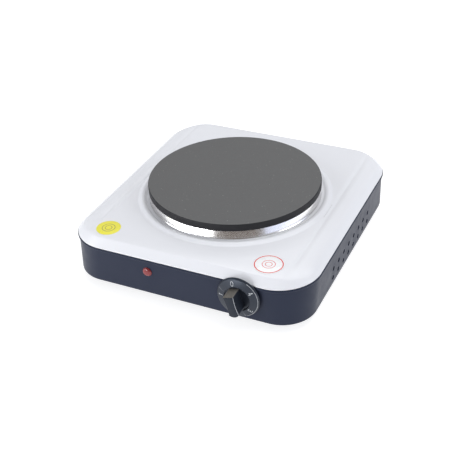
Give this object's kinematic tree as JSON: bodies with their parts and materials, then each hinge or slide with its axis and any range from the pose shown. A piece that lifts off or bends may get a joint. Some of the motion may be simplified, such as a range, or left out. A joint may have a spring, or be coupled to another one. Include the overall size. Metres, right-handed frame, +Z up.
{
  "type": "hot plate burner",
  "caption": "Portable electric hot plate: round cast-iron burner on a white steel cover, black vented body, rotary heat knob, pilot lamp and rear cord inlet.",
  "frame": {"origin": "bottom centre of the overall box, on the surface that the feet stand on", "axes": "+Z up; the front with knob and pilot lamp faces -Y; +X is to the right seen from the front"},
  "size_m": [0.2256, 0.2551, 0.0665],
  "materials": {
    "cover_enamel": "gloss",
    "body_paint": "satin",
    "base_zinc": "satin",
    "fastener_steel": "satin",
    "foot_rubber": "matte",
    "plate_iron": "matte",
    "ring_steel": "polished",
    "coil_sheath": "matte",
    "porcelain": "satin",
    "bracket_steel": "satin",
    "brass_parts": "satin",
    "contact_silver": "satin",
    "bimetal": "satin",
    "spindle_steel": "polished",
    "knob_plastic": "satin",
    "lens_red": "gloss",
    "lamp_glass": "gloss",
    "sleeve_white": "satin",
    "sleeve_brown": "satin",
    "sleeve_blue": "satin",
    "sleeve_green": "satin",
    "terminal_plastic": "satin",
    "gland_rubber": "matte",
    "label_yellow": "gloss",
    "label_white": "gloss"
  },
  "bodies": {
    "housing": {"top_cover": "cover_enamel", "body_shell": "body_paint", "base_plate": "base_zinc", "base_screws": "fastener_steel", "cover_standoffs": "base_zinc", "rubber_feet": "foot_rubber", "foot_screws": "fastener_steel", "foot_nuts": "fastener_steel", "hot_plate": "plate_iron", "trim_ring": "ring_steel", "heating_coil": "coil_sheath", "coil_insulation": "porcelain", "plate_backing": "bracket_steel", "centre_stud": "fastener_steel", "spacer_tube": "bracket_steel", "heat_shield": "bracket_steel", "clamp_strap": "bracket_steel", "stud_washer": "fastener_steel", "stud_nut": "fastener_steel", "element_bushes": "porcelain", "crimp_sleeves": "brass_parts", "thermostat_bracket": "bracket_steel", "bracket_screws": "fastener_steel", "ceramic_stack": "porcelain", "stack_rivet": "fastener_steel", "contact_blades": "brass_parts", "contact_buttons": "contact_silver", "bimetal_strip": "bimetal", "spindle_bush": "brass_parts", "pilot_lens": "lens_red", "neon_lamp": "lamp_glass", "lamp_retainer": "fastener_steel", "lamp_leads": "sleeve_white", "live_lead": "sleeve_brown", "switched_lead": "sleeve_white", "neutral_lead": "sleeve_blue", "earth_lead": "sleeve_green", "earth_screw": "brass_parts", "mains_terminal": "terminal_plastic", "mains_screws": "brass_parts", "cord_gland": "gland_rubber", "heat_label": "label_yellow", "care_label": "label_white"},
    "knob": {"knob": "knob_plastic", "knob_spring": "fastener_steel", "spindle": "spindle_steel"},
    "pusher": {"pusher_pin": "porcelain"}
  },
  "joints": [
    {"name": "knob_turn", "type": "hinge", "parent": "housing", "child": "knob", "pos_m": [0.0558, -0.11125, 0.0317], "axis": [0, 1, 0], "range_deg": [0, 288]},
    {"name": "pusher_slide", "type": "slide", "parent": "housing", "child": "pusher", "axis": [0, 1, 0], "range_m": [0, 0.0008]}
  ],
  "couplings": [
    {"joint": "pusher_slide", "follows": "knob_turn", "m_per_rad": 0.000159}
  ]
}
